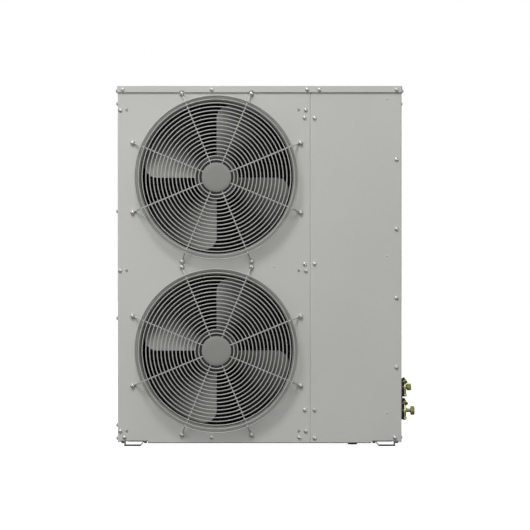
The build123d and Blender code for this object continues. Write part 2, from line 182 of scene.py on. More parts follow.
# The same paint on the folded edges and frame behind the panels.
frame_paint = coated("light_grey_frame_coat", ("#c2c3be", "#cccdc8"), 180, 6, 0.05, (0.45, 0.56))
# Steel wire dipped in plastic: rounder and glossier than powder, with slow drips of tone.
wire_coat = coated("grey_dipped_wire_coat", ("#bbbcb7", "#c6c7c2"), 40, 5, 0.03, (0.32, 0.42))
# The round plate in the middle of each guard has a darker coat, baked matt.
hub_plate_paint = coated("mid_grey_powder_coat", ("#92928d", "#9a9a95"), 60, 5, 0.04, (0.5, 0.6))
# The arrows on the panel have a darker grey coat than the sheet, thin and dry.
mark_paint = coated("dark_grey_arrow_coat", ("#8a8a85", "#959590"), 8, 2, 0.03, (0.55, 0.65))
# The bellmouths are painted a darker, duller grey than the panels: painted shade on the curled lip.
bellmouth_shade_paint = coated("grey_bellmouth_painted_shade", ("#9c9d98", "#a6a7a2"), 90, 5, 0.05, (0.5, 0.62))
# Moulded glass-filled polypropylene, satin with flow clouds from the mould; its dark grey is painted
# shade.
hub_plastic_with_shade = coated(
    "dark_grey_polypropylene_painted_shade", ("#4a4a47", "#53534f"), 70, 4, 0.04, (0.42, 0.55), 1.49
)
# Black enamel on the motors, sprayed and stoved: smooth, with a wet gloss; the black is also painted
# shade.
black_enamel_and_shade = coated("black_enamel_and_painted_shade", ("#0d0d0d", "#161616"), 50, 5, 0.03, (0.28, 0.4), 1.52)
# Black powder coat on the brackets inside, matt so that nothing shines; the black is also painted
# shade.
black_powder_and_shade = coated("black_powder_and_painted_shade", ("#0b0b0b", "#131313"), 80, 5, 0.05, (0.55, 0.7))
# Textured powder coat on the plate and the pan behind the valves, its dark grey painted shade.
dark_powder_and_shade = coated("powder_coat_with_painted_shade", ("#2a2a28", "#343432"), 60, 4, 0.06, (0.55, 0.7))
# Moulded nitrile rubber, dull with a lighter grey bloom; also the black strip of painted shade below.
black_rubber_and_shade = coated("black_rubber_and_painted_shade", ("#0c0c0c", "#191919"), 9, 2, 0.06, (0.65, 0.85), 1.52)
# Aluminium fins in a thin black epoxy coat, glossier than powder; the black is also painted shade.
fin_coat_and_shade = coated("black_fin_coat_and_painted_shade", ("#0a0a0b", "#151516"), 30, 3, 0.02, (0.4, 0.55), 1.55)
print("coats made:", len(bpy.data.materials))

# %% [markdown]
# ## Bare metals
# Hot-dip galvanised sheet freezes into flat crystals, the spangle, each catching the light a
# little differently. Cells of a Voronoi texture are just such patches. Turned steel, drawn
# copper and forged brass have no cells, so they use a soft noise: handled and oxidised spots
# change the tone and the gloss together. Metals keep the default IOR.

# %% Galvanised steel
def galvanised(name, tones, spangle, gloss):
    """Zinc spangle with crystals of a size in millimetres."""
    finish, tree, here = new_finish(name)
    crystals = add(tree, "ShaderNodeTexVoronoi", {"Scale": per_metre(spangle)}, {"Vector": here})
    level = add(tree, "ShaderNodeSeparateColor", links={"Color": crystals.outputs["Color"]}).outputs
    pair = {TONE_A: linear(tones[0]), TONE_B: linear(tones[1])}
    tone = add(tree, "ShaderNodeMix", pair, {FACTOR: level["Red"]}, data_type="RGBA").outputs[MIXED]
    limits = {"To Min": gloss[0], "To Max": gloss[1]}
    roughness = add(tree, "ShaderNodeMapRange", limits, {"Value": level["Green"]}).outputs["Result"]
    links = {"Base Color": tone, "Roughness": roughness}
    zinc = add(tree, "ShaderNodeBsdfPrincipled", {"Metallic": 1.0}, links)
    add(tree, "ShaderNodeOutputMaterial", links={"Surface": zinc.outputs["BSDF"]})
    return finish


# Thin sheet of the coil's end plates and the partition: still bright, with broad crystals.
galvanised_sheet = galvanised("hot_dip_galvanised_sheet", ("#8d9092", "#a5a8aa"), 14, (0.38, 0.55))
# Thicker plate of the feet: darker as painted shade on their edges, duller, with smaller crystals.
galvanised_plate_with_shade = galvanised("galvanised_plate_painted_shade", ("#5d6062", "#74777a"), 10, (0.45, 0.62))
print("galvanised finishes:", galvanised_sheet.name, galvanised_plate_with_shade.name)

# %% Turned, drawn and forged metal
metal_bump = 0.4


def worked_metal(name, tones, spot, depth, gloss):
    """Bare metal with handled spots of a size in millimetres."""
    finish, tree, here = new_finish(name)
    spotty = {"Scale": per_metre(spot), "Detail": 4.0}
    spots = add(tree, "ShaderNodeTexNoise", spotty, {"Vector": here}).outputs["Fac"]
    pair = {TONE_A: linear(tones[0]), TONE_B: linear(tones[1])}
    tone = add(tree, "ShaderNodeMix", pair, {FACTOR: spots}, data_type="RGBA").outputs[MIXED]
    limits = {"To Min": gloss[0], "To Max": gloss[1]}
    roughness = add(tree, "ShaderNodeMapRange", limits, {"Value": spots}).outputs["Result"]
    wear = {"Strength": metal_bump, "Distance": depth * mm}
    dents = add(tree, "ShaderNodeBump", wear, {"Height": spots}).outputs["Normal"]
    links = {"Base Color": tone, "Roughness": roughness, "Normal": dents}
    metal = add(tree, "ShaderNodeBsdfPrincipled", {"Metallic": 1.0}, links)
    add(tree, "ShaderNodeOutputMaterial", links={"Surface": metal.outputs["BSDF"]})
    return finish


# Turned steel: bright, with fine spots where the oil dried.
turned_steel = worked_metal("turned_steel", ("#9a9b9c", "#b4b5b6"), 8, 0.02, (0.25, 0.38))
# Zinc plating on screws, dulled by the weather: satin, and slightly cloudy.
zinc_plate = worked_metal("zinc_plated_steel", ("#c8c9c5", "#dadbd7"), 5, 0.02, (0.38, 0.5))
# Black oxide on the bolts below, a thin bloom that still shines; the black is also painted shade.
black_oxide_and_shade = worked_metal("black_oxide_and_painted_shade", ("#131313", "#202020"), 4, 0.02, (0.4, 0.55))
# Forged brass with an olive oxide bloom, bright where it was turned.
forged_brass = worked_metal("forged_brass", ("#9a9a63", "#babb86"), 12, 0.05, (0.16, 0.26))
# Drawn copper tube, near-black like the fins, which is painted shade inside the coil.
copper_and_painted_shade = worked_metal("copper_and_painted_shade", ("#1c1614", "#2a211d"), 15, 0.02, (0.45, 0.6))
print("finishes in all:", len(bpy.data.materials))

# %% [markdown]
# ## Dress the pieces that keep their shape
# Sheets, posts, rails and feet are already right in the frame, because a folded sheet is what it
# looks like. They only need the finish of the real one, so a table of finishes is laid over
# them by name.

# %% Finishes of the frame's own pieces
plain_pieces = {
    panel_paint: ["fan_panel", "service_panel", "right_side_panel", "rear_panel", "top_cover"],
    frame_paint: ["front_left_post", "rear_left_post", "centre_post", "base_pan"],
    galvanised_sheet: ["coil_front_plate", "coil_rear_plate", "partition"],
    # The feet's darker zinc is painted shade for their shadowed edges.
    galvanised_plate_with_shade: ["front_left_foot", "front_right_foot", "rear_left_foot", "rear_right_foot"],
    # The brackets' black is partly painted shade behind the fans.
    black_powder_and_shade: ["left_motor_rail", "right_motor_rail", "upper_motor_plate", "lower_motor_plate"],
    dark_powder_and_shade: ["valve_plate"],
    turned_steel: ["upper_fan_shaft", "lower_fan_shaft"],
}
for finish, names in plain_pieces.items():
    for name in names:
        coats = frame["nodes"][name].data.materials
        coats.clear()
        coats.append(finish)
print("pieces dressed:", sum(len(names) for names in plain_pieces.values()))

# %% [markdown]
# ## Ways of making a finer piece
# Most pieces are a skin over outlines laid one after another, so one function joins outlines with
# faces and closes the ends. Turned and spun parts are of that kind too: a profile carried round an
# axis leaves rings. Wire is a curve with a round bevel, which is how a bent wire really is made: a
# line first, then a thickness. A last function takes points and faces and puts a finished mesh in
# the scene, riding on the body that carries it.

# %% Skins over outlines
# Radius of the ring that closes a profile on its axis.
pinhole = 0.2 * mm


def loft(outlines, hollow=False):
    """Points and faces of a skin over outlines. Hollow joins the last one to the first."""
    count = len(outlines[0])
    points = [point for outline in outlines for point in outline]
    faces = []
    for ring in range(len(outlines) if hollow else len(outlines) - 1):
        here = ring * count
        there = (ring + 1) % len(outlines) * count
        for k in range(count):
            after = (k + 1) % count
            faces.append((here + k, here + after, there + after, there + k))
    if not hollow:
        faces.append(tuple(reversed(range(count))))
        faces.append(tuple(range(len(points) - count, len(points))))
    return points, faces


def spin(profile, start, along, sides=48, flats=0.0, hollow=False, swing=0.0):
    """
    Skin over the rings that a profile of (radius, height) leaves round an axis.
    Flats makes each ring a hexagon that wide, swung round by an angle.
    """
    turn = Vector((0, 0, 1)).rotation_difference(Vector(along)).to_matrix()
    rings = []
    for radius, height in profile:
        ring = []
        for k in range(sides):
            angle = tau * k / sides
            reach = radius
            if flats:
                reach = min(radius, flats / 2 / cos((angle - swing + pi / 6) % (pi / 3) - pi / 6))
            spot = Vector((reach * cos(angle), reach * sin(angle), height))
            ring.append(Vector(start) + turn @ spot)
        rings.append(ring)
    return loft(rings, hollow)


def in_mm(profile):
    """Profile of (radius, height) that is given in millimetres."""
    return [(radius * mm, height * mm) for radius, height in profile]


print("a profile closes on a ring of radius", pinhole / mm, "mm")


# %% Join and place
def together(shapes):
    """Joins several lots of points and faces into one."""
    points, faces = [], []
    for shape_points, shape_faces in shapes:
        first = len(points)
        points += shape_points
        faces += [tuple(i + first for i in face) for face in shape_faces]
    return points, faces


def place(name, shape, finish, crease=35, body="cabinet"):
    """Makes a mesh piece with smooth faces and sharp creases, riding on a body."""
    mesh = bpy.data.meshes.new(name)
    mesh.from_pydata(shape[0], [], shape[1])
    work = bmesh.new()
    work.from_mesh(mesh)
    bmesh.ops.recalc_face_normals(work, faces=work.faces)
    work.to_mesh(mesh)
    work.free()
    mesh.polygons.foreach_set("use_smooth", [True] * len(mesh.polygons))
    mesh.set_sharp_from_angle(angle=radians(crease))
    mesh.materials.append(finish)
    piece = bpy.data.objects.new(name, mesh)
    scene.collection.objects.link(piece)
    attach(piece, body)
    return piece


print("mesh pieces ride on the cabinet unless a body is named")


# %% Bend wire
def bend_wire(name, routes, radius, finish, closed=False):
    """Makes round wires along routes of points, as one curve on the cabinet."""
    curve = bpy.data.curves.new(name, "CURVE")
    curve.dimensions = "3D"
    curve.bevel_depth = radius
    curve.bevel_resolution = 3
    curve.use_fill_caps = not closed
    for route in routes:
        spline = curve.splines.new("POLY")
        spline.points.add(len(route) - 1)
        for point, spot in zip(spline.points, route):
            point.co = (*spot, 1.0)
        spline.use_cyclic_u = closed
    curve.materials.append(finish)
    piece = bpy.data.objects.new(name, curve)
    scene.collection.objects.link(piece)
    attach(piece, "cabinet")
    return piece


def round_route(centre, radius, pieces):
    """Points of a circle that faces the front."""
    angles = [tau * k / pieces for k in range(pieces)]
    return [centre + Vector((radius * sin(a), 0, radius * cos(a))) for a in angles]


print("wire tools ready: bend_wire, round_route")

# %% [markdown]
# ## Fan guards
# Each guard is nineteen rings of 3.8 mm wire welded to eight spokes of 5 mm wire, dipped in
# plastic. The spokes lie behind the rings, then bend back to the panel and end in a flattened
# eye under a screw. The frame's rings are many-sided bars, so round wire takes their place.

# %% Guard sizes
ring_wire = 3.8 * mm
spoke_wire = 5.0 * mm
ring_count = 19
spoke_count = 8
inner_ring = 49.0 * mm
outer_ring = 288.0 * mm
guard_standoff = 32.0 * mm
ring_y = panel_face - guard_standoff + ring_wire / 2
spoke_y = ring_y + ring_wire / 2 + spoke_wire / 2
seat_y = panel_face - spoke_wire / 2
ring_pitch = (outer_ring - inner_ring) / (ring_count - 1)
radii = [inner_ring + ring_pitch * i for i in range(ring_count)]
spoke_angles = [radians(360 / spoke_count * (k + 0.5)) for k in range(spoke_count)]
print("rings", ring_count, "at pitch", round(ring_pitch / mm, 2), "mm, spokes", len(spoke_angles))

# %% Routes of the spokes
eye_circle = 320.0 * mm
eye_wire_circle = 6.0 * mm
bend_steps = 6
bend_reach = 1.2 * spoke_wire


def rounded(corners, reach):
    """Route through corners, each rounded by a small curve that starts a reach away from it."""
    route = [corners[0]]
    for before, corner, after in zip(corners, corners[1:], corners[2:]):
        start = corner + (before - corner).normalized() * reach
        end = corner + (after - corner).normalized() * reach
        for k in range(bend_steps + 1):
            t = k / bend_steps
            route.append(start * (1 - t) ** 2 + corner * 2 * t * (1 - t) + end * t ** 2)
    return route + [corners[-1]]


def outward(angle):
    """Direction away from a fan's axis, at an angle from straight up."""
    return Vector((sin(angle), 0, cos(angle)))


def spoke_route(middle, angle):
    """Route of a spoke from the innermost ring to its eye on the panel."""
    stops = (
        (inner_ring - ring_wire, spoke_y),
        (outer_ring + spoke_wire / 2, spoke_y),
        (eye_circle - 2 * spoke_wire, seat_y),
        (eye_circle - eye_wire_circle, seat_y),
    )
    corners = [middle + outward(angle) * reach + Vector((0, y, 0)) for reach, y in stops]
    return rounded(corners, bend_reach)


print("eyes on a circle of radius", round(eye_circle / mm), "mm")

# %% Bend the guards
least_sides = 48
mm_per_side = 4
eye_sides = 24
for name, axis in fan_axes.items():
    middle = Vector((axis.x, 0, axis.z))
    ring_middle = middle + Vector((0, ring_y, 0))
    rings = [
        round_route(ring_middle, radius, least_sides + round(radius / mm / mm_per_side))
        for radius in radii
    ]
    guard = bend_wire(
        f"{name}_guard_ring_wires", rings, ring_wire / 2, wire_coat, closed=True
    )
    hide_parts(f"{name}_guard_rings")
    spokes = [spoke_route(middle, angle) for angle in spoke_angles]
    guard = bend_wire(f"{name}_guard_spoke_wires", spokes, spoke_wire / 2, wire_coat)
    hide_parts(f"{name}_guard_spokes")
    seat = middle + Vector((0, seat_y, 0))
    eyes = [
        round_route(seat + outward(angle) * eye_circle, eye_wire_circle, eye_sides)
        for angle in spoke_angles
    ]
    bend_wire(f"{name}_guard_eyes", eyes, spoke_wire / 2, wire_coat, closed=True)
    print(name, "guard wires:", len(rings) + len(spokes) + len(eyes))

# %% [markdown]
# ## Guard hub plates
# A pressed disc closes the middle of each guard and hides the fan's nut. Its rim is turned back
# over the innermost ring, and its face is very slightly domed so that it doesn't rattle. A spun
# profile gives both.

# %% Hub plates
plate_lap = 0.9 * mm
plate_proud = 0.6 * mm
rim_radius = 1.2 * mm
dome = 0.5 * mm
plate_radius = inner_ring + ring_wire / 2 + plate_lap
plate_front = ring_wire + plate_proud
plate_profile = [
    (pinhole, plate_front + dome),
    (20.0 * mm, plate_front + 0.8 * dome),
    (36.0 * mm, plate_front + 0.4 * dome),
    (plate_radius - rim_radius, plate_front),
    (plate_radius - 0.3 * rim_radius, plate_front - 0.3 * rim_radius),
    (plate_radius, plate_front - rim_radius),
    (plate_radius, ring_wire / 2),
]
for name, axis in fan_axes.items():
    back = Vector((axis.x, ring_y + ring_wire / 2, axis.z))
    disc = spin(plate_profile, back, (0, -1, 0), sides=96)
    plate = place(f"{name}_guard_pressed_plate", disc, hub_plate_paint)
    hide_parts(f"{name}_guard_hub_plate")
print("hub plate radius:", round(plate_radius / mm, 1), "mm")

# %% [markdown]
# ## Bellmouths
# Air is drawn in and thrown out through a spun ring whose lip curls from the panel into a short
# collar. The frame draws the curl with four flats. Spun sheet is smooth, so the curl is turned
# here from a quarter circle in many steps.

# %% Bellmouth rings
sheet = 1.5 * mm
lip_radius = 20.0 * mm
collar_depth = 60.0 * mm
lip_steps = 12
opening_radius = outer_ring - lip_radius
lip_turns = [pi / 2 * k / lip_steps for k in range(lip_steps + 1)]


def lip(radius):
    """Profile of the curl, from the panel to the collar. Heights run back from the panel's face."""
    return [(outer_ring - radius * sin(t), sheet + lip_radius - radius * cos(t)) for t in lip_turns]


outside = lip(lip_radius) + [(opening_radius, collar_depth)]
inside = lip(lip_radius - sheet) + [(opening_radius + sheet, collar_depth)]
collar_profile = outside + inside[::-1]
for name, axis in fan_axes.items():
    front = Vector((axis.x, panel_face, axis.z))
    ring = spin(collar_profile, front, (0, 1, 0), sides=128, hollow=True)
    # The ring's darker grey is painted shade on the lip.
    mouth = place(f"{name}_spun_bellmouth", ring, bellmouth_shade_paint)
    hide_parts(f"{name}_bellmouth")
print("opening radius:", round(opening_radius / mm, 1), "mm")

# %% [markdown]
# ## Fans
# Each fan is one moulding: a cup-shaped hub with four broad blades. A blade sweeps 68 degrees
# and goes back by almost the depth of the fan, so its pitch is steep at the hub and flat at the
# tip. Its front edge is straight and its tip corner is well rounded. The outline in front view
# is worked out as a reach for each angle, and the grid of points follows it. A thin skin with
# a bevel would be too sharp for a moulding, so the blade has a real thickness that swells
# into the hub. The blades carry painted shade: light grey at their front edges, darkening to
# near-black towards their back edges, where the shade inside the opening lies. The darkening is
# measured along the fan's own axis. The hub is painted dark grey for the shade behind its plate.

# %% Blade outline
fan_radius = 260.0 * mm
blade_span = radians(68.0)
front_corner = 45.0 * mm
back_corner = 25.0 * mm


def blade_reach(turn):
    """How far the blade reaches at an angle behind its front edge."""
    reach = fan_radius
    for corner, angle in ((front_corner, turn), (back_corner, blade_span - turn)):
        middle = fan_radius - corner
        slant = asin(corner / middle)
        if angle < slant:
            aside = middle * sin(slant - angle)
            reach = middle * cos(slant - angle) + sqrt(max(corner ** 2 - aside ** 2, 0.0))
    return reach


print("blade reach at its front edge:", round(blade_reach(0.0) / mm, 1), "mm")

# %% Blade skins
fan_depth = 100.0 * mm
fan_recess = 38.0 * mm
blade_camber = 0.10
blade_depth = 6.0 * mm
hub_radius = 76.0 * mm
hub_wall = 4.0 * mm
angle_steps = 44
reach_steps = 16
row_crowding = 1.15
root_swell = 5.0 * mm
swell_margin = 0.06
tip_thinning = 0.35
fan_front = panel_face + fan_recess


def blade_skin(axis, first_turn, side):
    """Points of a blade's front, side -1, or back, side 1, in rows from its front edge."""
    root = hub_radius - hub_wall / 2
    skin = []
    for i in range(angle_steps + 1):
        share = (1 - cos(pi * i / angle_steps)) / 2
        turn = blade_span * share
        angle = first_turn + turn
        line = fan_front + (fan_depth - blade_depth) * (share + blade_camber * sin(pi * share))
        fullness = sin(pi * min(max(share, swell_margin), 1 - swell_margin))
        for j in range(reach_steps + 1):
            reach = root + (blade_reach(turn) - root) * (j / reach_steps) ** row_crowding
            swell = root_swell * exp((root - reach) / root_swell) * fullness
            thin = 1.0 - tip_thinning * (reach - root) / (fan_radius - root)
            y = line + blade_depth / 2 + side * (blade_depth / 2 * thin + swell)
            skin.append(Vector((axis.x + reach * sin(angle), y, axis.z + reach * cos(angle))))
    return skin


print("points on a blade's skin:", (angle_steps + 1) * (reach_steps + 1))


# %% Blade from two skins
def blade_shape(axis, first_turn):
    """Points and faces of one blade as two skins joined round their rim."""
    front, back = (blade_skin(axis, first_turn, side) for side in (-1, 1))
    row = reach_steps + 1
    count = len(front)
    faces = []
    for i in range(angle_steps):
        for j in range(reach_steps):
            a = i * row + j
            faces.append((a, a + 1, a + row + 1, a + row))
            faces.append((count + a, count + a + row, count + a + row + 1, count + a + 1))
    rim = list(range(row))
    rim += [i * row + reach_steps for i in range(1, angle_steps + 1)]
    rim += [angle_steps * row + j for j in range(reach_steps - 1, -1, -1)]
    rim += [i * row for i in range(angle_steps - 1, 0, -1)]
    for a, b in zip(rim, rim[1:] + rim[:1]):
        faces.append((a, b, count + b, count + a))
    return front + back, faces


print("faces on a blade:", len(blade_shape(fan_axes["upper"], 0.0)[1]))

# %% Hub
shaft_radius = 6.0 * mm
boss_radius = 18.0 * mm
hub_face = 4.0 * mm
hub_floor = 10.0 * mm
hub_ring = in_mm([(30.0, 4.0), (31.0, 5.5), (56.0, 5.5), (57.0, 4.0)])
hub_shoulder = in_mm([(70.0, 4.0), (73.0, 4.8), (75.2, 7.0)])
hub_profile = [(shaft_radius, hub_face)] + hub_ring + hub_shoulder
hub_profile += [
    (hub_radius, hub_floor),
    (hub_radius, fan_depth - hub_face),
    (hub_radius - hub_wall, fan_depth - hub_face),
    (hub_radius - hub_wall, hub_floor),
    (boss_radius, hub_floor),
    (boss_radius, fan_depth / 2),
    (shaft_radius, fan_depth / 2),
]
print("hub radius:", round(hub_radius / mm, 1), "mm")

# %% Mould the fans
mould_edge = 1.2 * mm
mould_crease = 50
blade_count = 4
# The blade plastic with painted shade: light grey in front, near-black deeper in the fan.
lit_depth_share = 0.72
blade_plastic_with_painted_shade = coated(
    "polypropylene_with_painted_depth_shade",
    ("#1a1a19", "#20201f"),
    70,
    4,
    0.04,
    (0.5, 0.62),
    ior=1.49,
    shine=0.25,
    depth_shade=("#b0b0ac", fan_front, fan_front + lit_depth_share * fan_depth),
)
for name, axis in fan_axes.items():
    blades = [blade_shape(axis, tau * k / blade_count) for k in range(blade_count)]
    hub = spin(hub_profile, Vector((axis.x, fan_front, axis.z)), (0, 1, 0), sides=96, hollow=True)
    # The hub's dark grey is painted shade for the shade behind the guard plate.
    mouldings = (("blades", together(blades), blade_plastic_with_painted_shade), ("hub", hub, hub_plastic_with_shade))
    for part, shape, finish in mouldings:
        moulding = place(
            f"{name}_fan_{part}", shape, finish, mould_crease, f"{name}_rotor"
        )
        edge = moulding.modifiers.new("moulded_edges", "BEVEL")
        edge.width = mould_edge
        edge.segments = 2
        edge.limit_method = "ANGLE"
        edge.angle_limit = radians(mould_crease)
        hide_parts(f"{name}_fan")
print("blades on a fan:", blade_count)

# %% [markdown]
# ## Motors
# Behind each fan sits a black motor with shallow cooling ribs round its barrel; its black is also
# painted shade for the dark inside. Only a little of it shows between the blades, so a spun
# profile with ribs is enough.

# %% Motor barrels
rib_count = 6
rib_height = 3.0 * mm
rib_slope = 2.0 * mm
motor_boss = 15.0 * mm
motor_boss_radius = 20.0 * mm
barrel_end = 8.0 * mm
shoulder_rise = 6.0 * mm
shoulder_step = 1.0 * mm
for name, axis in fan_axes.items():
    low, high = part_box(f"{name}_fan_motor")
    radius = (high.x - low.x) / 2
    between_ribs = radius - rib_height
    length = high.y - low.y
    profile = [
        (shaft_radius, 0.0),
        (motor_boss_radius, 0.0),
        (motor_boss_radius, motor_boss),
        (radius - barrel_end, motor_boss),
        (between_ribs, motor_boss + rib_slope),
        (radius - shoulder_step, motor_boss + shoulder_rise),
    ]
    rib_pitch = (length - motor_boss - 2 * barrel_end) / rib_count
    for k in range(rib_count):
        rib = motor_boss + barrel_end + rib_pitch * k
        profile += [(between_ribs, rib), (radius, rib + rib_slope)]
        profile += [(radius, rib + rib_pitch - 2 * rib_slope)]
        profile += [(between_ribs, rib + rib_pitch - rib_slope)]
    profile += [(between_ribs, length), (shaft_radius, length)]
    shell = spin(profile, Vector((axis.x, low.y, axis.z)), (0, 1, 0), sides=64, hollow=True)
    # Black enamel, partly painted shade inside the cabinet.
    motor = place(f"{name}_ribbed_motor", shell, black_enamel_and_shade)
    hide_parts(f"{name}_fan_motor")
print("motor length:", round(length / mm, 1), "mm, ribs:", rib_count)

# %% [markdown]
# ## Coil
# The heat is given off by a coil: copper tubes run along it, back and forth, through hundreds of
# thin upright fins, and the whole block is bent round the rear left corner. Fins really stand
# 1.8 mm apart, finer than one dot of the picture, so they are drawn at 3.6 mm. A solid block
# with a striped paint would look flat from the side. Thin plates give true edges and depth.
# The louvres pressed into real fins close the view through them, and a dark core between the
# tubes stands for those.

# %% Line of the coil
coil_thickness = 44.0 * mm
coil_bend = 78.0 * mm
coil_low, coil_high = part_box("coil")
line_x = coil_low.x + coil_thickness / 2
line_y = coil_high.y - coil_thickness / 2
bend_centre = Vector((line_x + coil_bend, line_y - coil_bend, 0))
side_run = bend_centre.y - coil_low.y
bend_run = coil_bend * pi / 2
back_run = coil_high.x - bend_centre.x
coil_run = side_run + bend_run + back_run


def along_coil(distance, aside):
    """Place on the coil at a distance along its middle line, and aside of it, positive outwards."""
    if distance < side_run:
        return Vector((line_x - aside, coil_low.y + distance, 0))
    if distance < side_run + bend_run:
        turn = (distance - side_run) / coil_bend
        return bend_centre + Vector((-cos(turn), sin(turn), 0)) * (coil_bend + aside)
    return Vector((bend_centre.x + distance - side_run - bend_run, line_y + aside, 0))


print("coil length:", round(coil_run / mm), "mm")

# %% Fins and core
coil_core = 28.0 * mm
fin_pitch = 3.6 * mm
fin_sheet = 0.3 * mm
first_fin = 0.3
arc_steps = 16
fin_count = int(coil_run / fin_pitch)
up = Vector((0, 0, 1))
outer = coil_thickness / 2
fin_plan = ((0.0, -outer), (fin_sheet, -outer), (fin_sheet, outer), (0.0, outer))
fins = []
for k in range(fin_count):
    start = fin_pitch * (k + first_fin)
    corners = [along_coil(start + step, aside) for step, aside in fin_plan]
    fins.append(loft([[corner + up * z for corner in corners] for z in (coil_low.z, coil_high.z)]))
stops = [0.0] + [side_run + bend_run * k / arc_steps for k in range(arc_steps + 1)] + [coil_run]
half_core = coil_core / 2
section = [(-half_core, z) for z in (coil_low.z, coil_high.z)]
section += [(half_core, z) for z in (coil_high.z, coil_low.z)]
core = loft([[along_coil(stop, aside) + up * z for aside, z in section] for stop in stops])
# Fins and core are near-black, partly painted shade for the inside of the coil.
fin_stack = place("coil_fins", together(fins + [core]), fin_coat_and_shade)
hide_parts("coil")
print("fins:", fin_count)

# %% Tubes
tube_radius = 4.75 * mm
tube_pitch = 25.4 * mm
tube_offset = 11.0 * mm
tube_stagger = 0.25
tube_rows = int((coil_high.z - coil_low.z) / tube_pitch) - 1
routes = []
for row in range(tube_rows):
    for side in (-1, 1):
        z = coil_low.z + tube_pitch * (row + 1 + side * tube_stagger)
        routes.append([along_coil(stop, side * tube_offset) + up * z for stop in stops])
bend_wire("coil_tubes", routes, tube_radius, copper_and_painted_shade)
print("tubes:", len(routes))

# %% [markdown]
# ## Coil guards
# Open coils get a guard so that fingers and hail don't bend the fins: a welded grid of thin
# coated wire screwed to the posts. The main bars lie where the frame has them, and finer
# uprights stand between them, as on the real thing.

# %% Wire grids over the coil
coil_wire = 3.0 * mm
fine_wire = 2.2 * mm
coil_rows = 11
fine_share = 4


def grid_bar(axis, depth, start, stop):
    """Straight bar between two places (run, height) on a grid along X, axis 0, or Y, axis 1."""
    ends = ((Vector((run, depth, z)), Vector((depth, run, z))) for run, z in (start, stop))
    return [end[axis] for end in ends]


for node, columns, axis in (("rear_coil_guard", 3, 0), ("left_coil_guard", 2, 1)):
    low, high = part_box(node)
    depth = (low[1 - axis] + high[1 - axis]) / 2
    first = low[axis] + coil_wire / 2
    last = high[axis] - coil_wire / 2
    bottom = low.z + coil_wire / 2
    top = high.z - coil_wire / 2
    rows = [bottom + (top - bottom) * k / coil_rows for k in range(coil_rows + 1)]
    bars = [grid_bar(axis, depth, (first, z), (last, z)) for z in rows]
    runs = [first + (last - first) * k / columns for k in range(columns + 1)]
    bars += [grid_bar(axis, depth, (run, bottom), (run, top)) for run in runs]
    grid = bend_wire(f"{node}_bars", bars, coil_wire / 2, wire_coat)
    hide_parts(node)
    fine_count = columns * fine_share
    shares = [k / fine_count for k in range(fine_count + 1) if k % fine_share]
    runs = [first + (last - first) * share for share in shares]
    uprights = [grid_bar(axis, depth, (run, bottom), (run, top)) for run in runs]
    bend_wire(f"{node}_uprights", uprights, fine_wire / 2, wire_coat)
    print(node, "bars:", len(bars), "uprights:", len(uprights))

# %% [markdown]
# ## Service valves
# Refrigerant lines join two forged brass valves: an upright barrel, a flare port with its hexagon
# nut pointing out, and a round capped stem leaning up. Nuts are hexagons whose corners are turned
# off by a cone, so a spun hexagon with a smaller end ring has just that curve on its flats. The
# caps are turned from bar, with a rounded end and two fine grooves for grip.

# %% Valve sizes
plate_low, plate_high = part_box("valve_plate")
valve_face = plate_high.x
valve_y = (plate_low.y + plate_high.y) / 2
valve_reach = 11.6 * mm
axis_x = valve_face + valve_reach
# In millimetres: height of the port, length of its neck, nut across flats, bore and cap radius,
# and how far the stem sits above the port.
valves = {
    "liquid": {"port": 205.5, "neck": 9.0, "nut": 22.0, "tube": 4.9, "cap": 12.3, "rise": 14.8},
    "gas": {"port": 123.0, "neck": 21.0, "nut": 29.0, "tube": 8.1, "cap": 14.2, "rise": 22.3},
}
print("valves:", sorted(valves), "at y", round(valve_y / mm), "mm")

# %% Nuts
nut_length = 15.0 * mm
nut_face = 0.97
nut_turned_off = 0.06
nut_swing = radians(15.0)
bore_edge = 0.8 * mm
flare_seat = 4.0 * mm


def flare_nut(start, flats, bore):
    """Hexagon nut pointing out, its corners turned off at both ends, with a bore from its far end."""
    corner = flats / 2 / cos(pi / 6)
    face = flats / 2 * nut_face
    turned_off = nut_turned_off * flats
    profile = [
        (face, 0.0),
        (corner, turned_off),
        (corner, nut_length - turned_off),
        (face, nut_length),
        (bore + bore_edge, nut_length),
        (bore, nut_length - bore_edge),
        (bore, flare_seat),
        (pinhole, flare_seat),
    ]
    return spin(profile, start, (1, 0, 0), sides=72, flats=flats, swing=nut_swing)


print("nut length:", round(nut_length / mm, 1), "mm")

# %% Caps
cap_length = 12.0 * mm
cap_edge = 2.5 * mm
edge_steps = 5
groove = 0.5 * mm
groove_shares = (0.3, 0.5)


def round_cap(start, along, radius):
    """Turned cap with two grooves and a rounded end."""
    profile = [(radius - groove, 0.0), (radius, groove)]
    for share in groove_shares:
        height = share * cap_length
        profile += [(radius, height - groove), (radius - groove, height), (radius, height + groove)]
    for k in range(edge_steps + 1):
        turn = pi / 2 * k / edge_steps
        profile.append((radius - cap_edge * (1 - cos(turn)), cap_length - cap_edge * (1 - sin(turn))))
    profile.append((pinhole, cap_length))
    return spin(profile, start, along, sides=64)


print("cap length:", round(cap_length / mm, 1), "mm")

# %% Barrels and ports
barrel = 6.75 * mm
end_radius = 8.1 * mm
drop = 34.0 * mm
collar_radius = 8.5 * mm
collar_edge = 0.6 * mm
collar_height = 2.6 * mm
flange_rise = 0.7 * mm
flange_width = 1.5 * mm
flange_slope = 0.5 * mm
foot_profile = [
    (0.55 * end_radius, 0.0),
    (0.85 * end_radius, 1.2 * mm),
    (end_radius, 3.4 * mm),
    (end_radius, 10.0 * mm),
    (barrel, 12.0 * mm),
]


